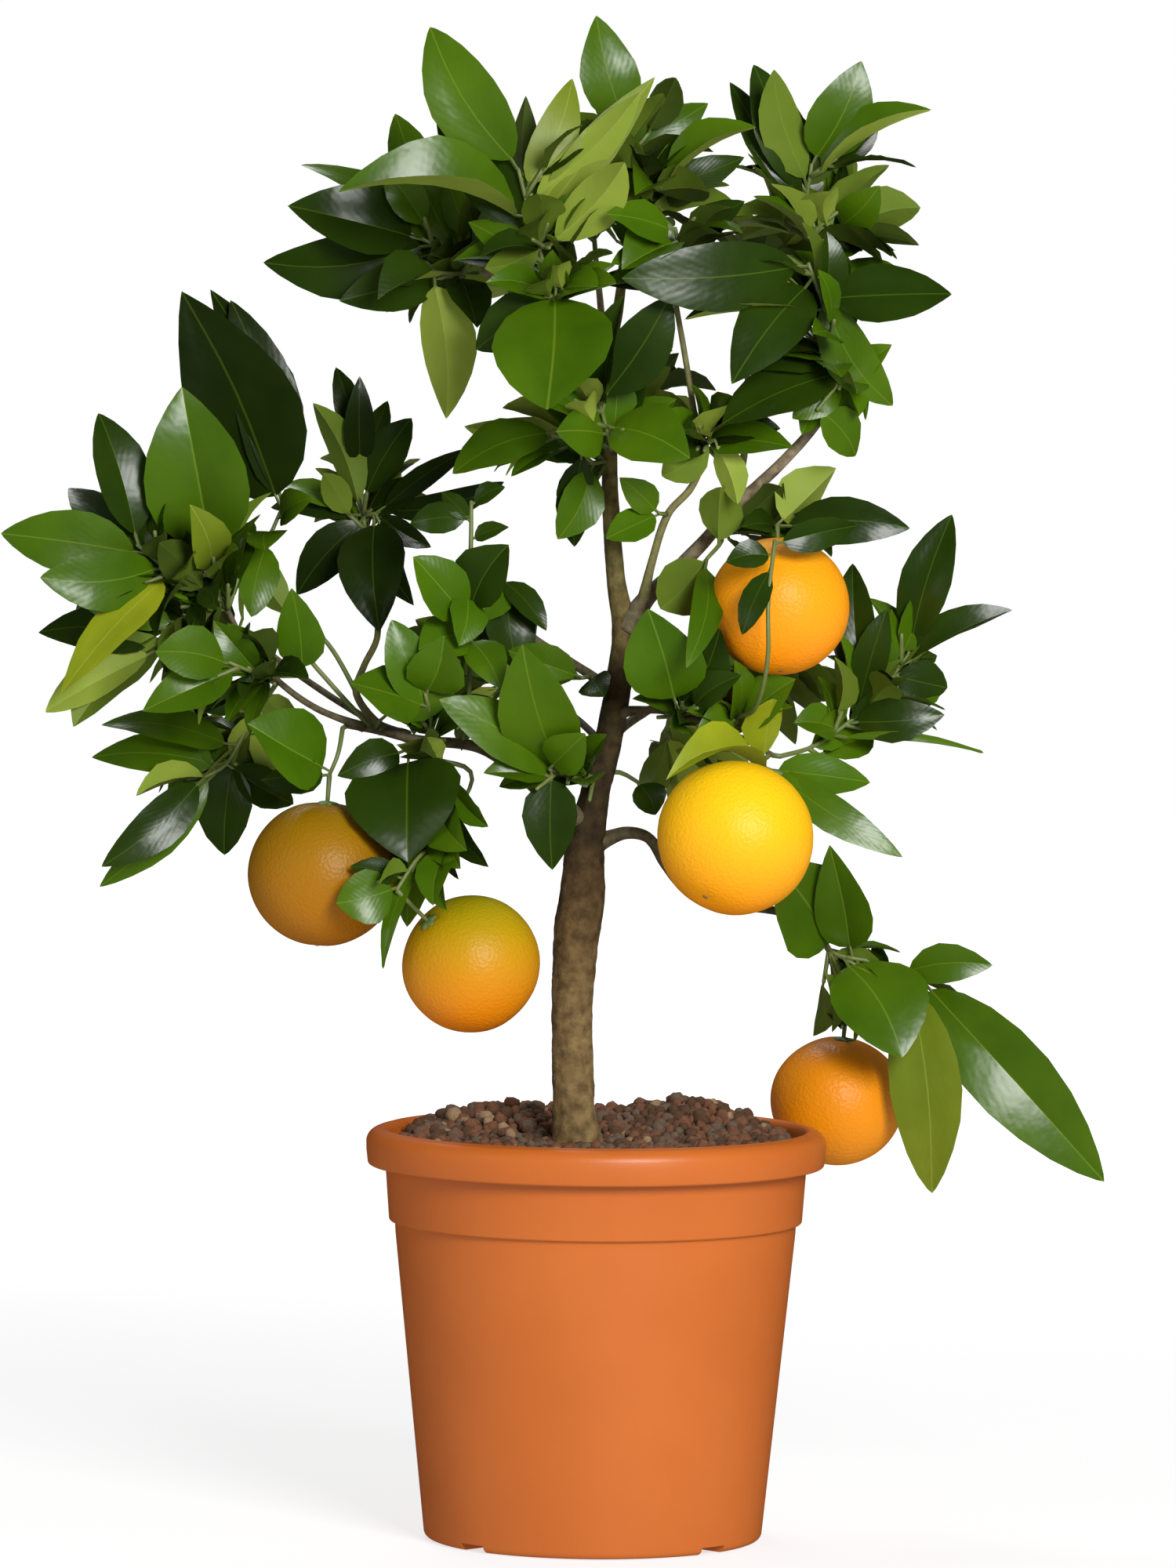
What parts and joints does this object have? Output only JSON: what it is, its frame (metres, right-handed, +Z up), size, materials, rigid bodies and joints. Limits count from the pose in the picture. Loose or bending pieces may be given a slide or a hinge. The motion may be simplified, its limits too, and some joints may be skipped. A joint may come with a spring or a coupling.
{
  "type": "potted orange tree",
  "caption": "Young orange tree in a round nursery pot: a leaning trunk forks into boughs that carry masses of broad leaves and ripe fruit.",
  "frame": {"origin": "centre of the pot's flat underside, where it stands on the floor", "axes": "+Z up along the pot's axis; the side that the picture shows looks towards -Y, with +X to its right"},
  "size_m": [0.53, 0.2611, 0.727],
  "materials": {
    "pot": "satin moulded plastic, terracotta colour",
    "soil": "loose brown clay granules",
    "bark": "rough grey-brown bark",
    "young_bark": "smoother young bark, brown turning green towards the tips",
    "foliage": "glossy green leaves on green twigs; the fruit among them is orange peel"
  },
  "bodies": {
    "root": {"pot": "pot", "soil": "soil", "trunk": "bark", "bough_left": "young_bark", "bough_left_high": "young_bark", "bough_right": "young_bark", "bough_right_inner": "young_bark", "bough_centre": "young_bark", "bough_top_left": "young_bark", "bough_far_left": "young_bark", "bough_top_back": "young_bark", "bough_front": "young_bark", "bough_left_up": "young_bark", "bough_left_upper": "young_bark", "bough_left_back": "young_bark", "bough_right_low": "young_bark", "bough_right_mid": "young_bark", "bough_back": "young_bark", "bough_back_left": "young_bark", "foliage_top_left": "foliage", "foliage_far_left": "foliage", "foliage_front": "foliage", "foliage_top": "foliage", "foliage_centre": "foliage", "foliage_right_top": "foliage", "foliage_right_front": "foliage", "foliage_right_lower": "foliage", "foliage_low_middle": "foliage", "foliage_leader_left": "foliage", "foliage_low_centre": "foliage", "foliage_fork": "foliage", "foliage_dark": "foliage", "foliage_left_middle": "foliage", "foliage_trunk_left": "foliage", "foliage_bough_left": "foliage", "foliage_left_high": "foliage", "foliage_left_high_side": "foliage", "foliage_right_leaf": "foliage", "foliage_right_middle": "foliage", "foliage_trunk_right": "foliage", "fruit_right_top": "foliage", "foliage_far_right": "foliage", "fruit_right": "foliage", "fruit_right_low": "foliage", "fruit_far_left": "foliage", "foliage_left_inner": "foliage", "foliage_left_upper": "foliage", "foliage_left_low": "foliage", "fruit_near_left": "foliage", "foliage_back_top_left": "foliage", "foliage_back_top": "foliage", "foliage_back_right": "foliage", "foliage_back_low": "foliage", "foliage_back_left": "foliage", "foliage_back_left_low": "foliage", "foliage_back_middle": "foliage", "foliage_back_middle_low": "foliage", "foliage_back_middle_left": "foliage"}
  },
  "joints": []
}
